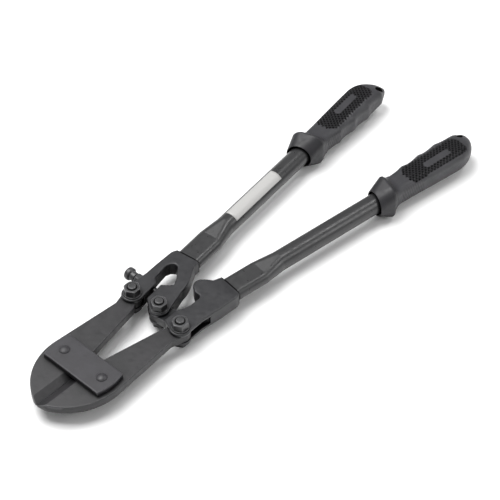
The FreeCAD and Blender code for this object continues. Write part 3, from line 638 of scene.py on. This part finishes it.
def grip_point(station, sizes, leans, across, up):
    """A point of the grip's skin with its pits, ribs and lean worked in, and how dark it is painted there:
    shade in a pit, a darker tone on the panel and the collar.
    """
    pit = 0.0
    shade = COLLAR_SHADE * fade_out(station, COLLAR_SHADE_FADE) if leans else 0.0
    if station > PATTERN_START and sizes[2] > LEAST_HALF_HEIGHT:
        if abs(up) > sizes[2] - TOP_BAND:
            pit = pit_share(station, across)
            shade = PANEL_SHADE if in_panel(station, across) else 0.0
        up -= math.copysign(PIT_DEPTH * pit, up)
        across -= math.copysign(RIB_DEPTH * rib_share(station, across, up, sizes), across)
    along = station - COLLAR_TILT * across * fade_out(station, TILT_FADE) if leans else station
    return (along, across, up), max(pit, shade)


def make_grip(side):
    """The moulded grip as one skin: bore, recessed mouth, leaning collar, body with panels, sloped end."""
    rows = grip_rows()
    points = []
    shades = []
    for station, sizes, leans in rows:
        for across, up in ring(sizes):
            (x, y, z), shade = grip_point(station, sizes, leans, across, up)
            points.append((x / 1000, side * y / 1000, z / 1000))
            shades.append(shade)
    faces = stack_faces(len(rows), RING_POINTS)
    if side == LEFT:
        faces = [face[::-1] for face in faces]
    name = ("left" if side == LEFT else "right") + "_moulded_grip"
    mesh = new_mesh(name, points, faces)
    # Each point carries the painted shade of a pit and the darker tone of panel and collar.
    attribute = mesh.attributes.new("pit", "FLOAT", "POINT")
    attribute.data.foreach_set("value", shades)
    mesh.materials.append(materials["grip"])
    grip = place_object(name, mesh)
    drill_hanging_hole(grip, side)
    grip.data.transform(handle_frame(side))
    grip.data.shade_smooth()
    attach(grip, "left_handle" if side == LEFT else "right_handle")
    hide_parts("left_grip" if side == LEFT else "right_grip")


def drill_hanging_hole(grip, side):
    """Cuts the hanging hole through the tip and paints shade on its wall."""
    along, across, radius = HOLE
    levels = ((-20, radius + HOLE_FLARE), (-10, radius), (10, radius), (20, radius + HOLE_FLARE))
    points = []
    for level, reach in levels:
        for step in range(HOLE_POINTS):
            turn = 2 * math.pi * step / HOLE_POINTS
            points.append(((along + reach * math.cos(turn)) / 1000,
                           (side * across + reach * math.sin(turn)) / 1000, level / 1000))
    cut_away(grip, points, stack_faces(len(levels), HOLE_POINTS))
    shades = grip.data.attributes["pit"].data
    # Points on the hole's wall get full painted shade.
    for vertex in grip.data.vertices:
        if math.hypot(vertex.co.x * 1000 - along, side * vertex.co.y * 1000 - across) < radius + HOLE_RIM:
            shades[vertex.index].value = 1.0


for hand in (LEFT, RIGHT):
    make_grip(hand)

# ---------------------------------------------------------------- right head, in millimetres

# Plan and levels of the shape that opens the mouth of the jaw slot.
SIDE_SLOT = ((104.0, -30.0), (104.0, -62.0), (147.0, -62.0), (146.0, -46.0), (140.0, -41.5), (124.0, -35.0))
SIDE_SLOT_LEVELS = (-5.15, 5.3)


def make_right_head():
    """The bumper head with the mouth of its jaw slot open on the outer side."""
    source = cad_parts["right_handle_head"]
    mesh = source.data.copy()
    mesh.name = "right_forged_head"
    mesh.transform(source.matrix_world)
    close_seams(mesh)
    head = place_object("right_forged_head", mesh)
    points = [here(x, y, level) for level in SIDE_SLOT_LEVELS for x, y in SIDE_SLOT]
    cut_away(head, points, stack_faces(len(SIDE_SLOT_LEVELS), len(SIDE_SLOT)))
    head.data.shade_smooth()
    head.data.set_sharp_from_angle(angle=SHARP_ANGLE)
    soften_edges(head, EDGE_WIDTHS["forging"])
    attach(head, "right_handle")
    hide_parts("right_handle_head")


make_right_head()

# ---------------------------------------------------------------- blank label on the left tube

# Stations along the tube, degrees round it from its outer side, and millimetres above its surface.
LABEL_START = 80.0
LABEL_END = 169.0
LABEL_LOW = 62.0
LABEL_HIGH = 146.0
LABEL_SKINS = (0.16, 0.04)
LABEL_COLUMNS = 30
LABEL_ROWS = 24


def label_points():
    """The film's outer skin and then its inner skin, column by column."""
    points = []
    for skin in LABEL_SKINS:
        radius = TUBE_RADIUS + skin
        for column in range(LABEL_COLUMNS + 1):
            station = LABEL_START + (LABEL_END - LABEL_START) * column / LABEL_COLUMNS
            for row in range(LABEL_ROWS + 1):
                turn = math.radians(LABEL_LOW + (LABEL_HIGH - LABEL_LOW) * row / LABEL_ROWS)
                across = radius * math.cos(turn)
                up = radius * math.sin(turn)
                points.append((station / 1000, across / 1000, up / 1000))
    return points


def label_faces():
    """Both skins of the film and the border that closes them."""
    width = LABEL_ROWS + 1
    layer = (LABEL_COLUMNS + 1) * width
    faces = []
    for column in range(LABEL_COLUMNS):
        for row in range(LABEL_ROWS):
            a = column * width + row
            faces.append((a, a + width, a + width + 1, a + 1))
            b = a + layer
            faces.append((b + 1, b + width + 1, b + width, b))
    border = list(range(width))
    border += [column * width + LABEL_ROWS for column in range(1, LABEL_COLUMNS + 1)]
    border += [LABEL_COLUMNS * width + row for row in range(LABEL_ROWS - 1, -1, -1)]
    border += [column * width for column in range(LABEL_COLUMNS - 1, 0, -1)]
    for step, a in enumerate(border):
        b = border[(step + 1) % len(border)]
        faces.append((a, b, b + layer, a + layer))
    return faces


def make_label():
    """A thin film wrapped on the top of the tube."""
    mesh = new_mesh("tube_label", label_points(), label_faces())
    mesh.materials.append(label_film())
    label = place_object("tube_label", mesh)
    mesh.transform(handle_frame(LEFT))
    label.data.shade_smooth()
    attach(label, "left_handle")


make_label()

# ---------------------------------------------------------------- floor, light and camera, in metres

FLOOR_REACH = 6
WORLD_STRENGTH = 0.42
LAMP_TARGET = Vector((0, 0, 0.02))
CAMERA_SENSOR = 36
CAMERA_LENS = 134


def add_floor():
    """A plain pale floor."""
    corners = ((-1, -1), (1, -1), (1, 1), (-1, 1))
    points = [(x * FLOOR_REACH, y * FLOOR_REACH, 0) for x, y in corners]
    floor = place_object("floor", new_mesh("floor", points, [(0, 1, 2, 3)]))
    floor.data.materials.append(new_material("floor", (0.9, 0.9, 0.9), 0.9))


def add_world():
    """An even white light from all around."""
    world = bpy.data.worlds.new("studio")
    scene.world = world
    world.use_nodes = True
    background = world.node_tree.nodes["Background"]
    background.inputs["Color"].default_value = (1, 1, 1, 1)
    background.inputs["Strength"].default_value = WORLD_STRENGTH


def aim(piece, place, target):
    """Puts a lamp or the camera in its place, facing the target."""
    piece.location = place
    piece.rotation_mode = "QUATERNION"
    piece.rotation_quaternion = (target - Vector(place)).to_track_quat("-Z", "Y")


def add_lamp(name, place, size, power):
    """A round soft lamp that shines on the part."""
    data = bpy.data.lights.new(name, "AREA")
    data.shape = "DISK"
    data.size = size
    data.energy = power
    aim(place_object(name, data), place, LAMP_TARGET)


def add_camera():
    """The camera where the photo was taken from."""
    data = bpy.data.cameras.new("camera")
    data.sensor_width = CAMERA_SENSOR
    data.lens = CAMERA_LENS
    camera = place_object("camera", data)
    aim(camera, here(-840.8, -1033.9, 1509.5), here(255.3, -5.84, 0))
    scene.camera = camera


add_floor()
add_world()
add_lamp("key", (-0.3, 0.7, 2.0), size=1.8, power=64)
add_lamp("side", (0.9, -1.25, 0.8), size=0.7, power=6)
add_lamp("front", (-0.9, -1.3, 1.4), size=1.4, power=2)
add_lamp("edge", (1.0, -0.3, 1.65), size=0.5, power=6)
add_camera()

scene.view_settings.view_transform = "Standard"
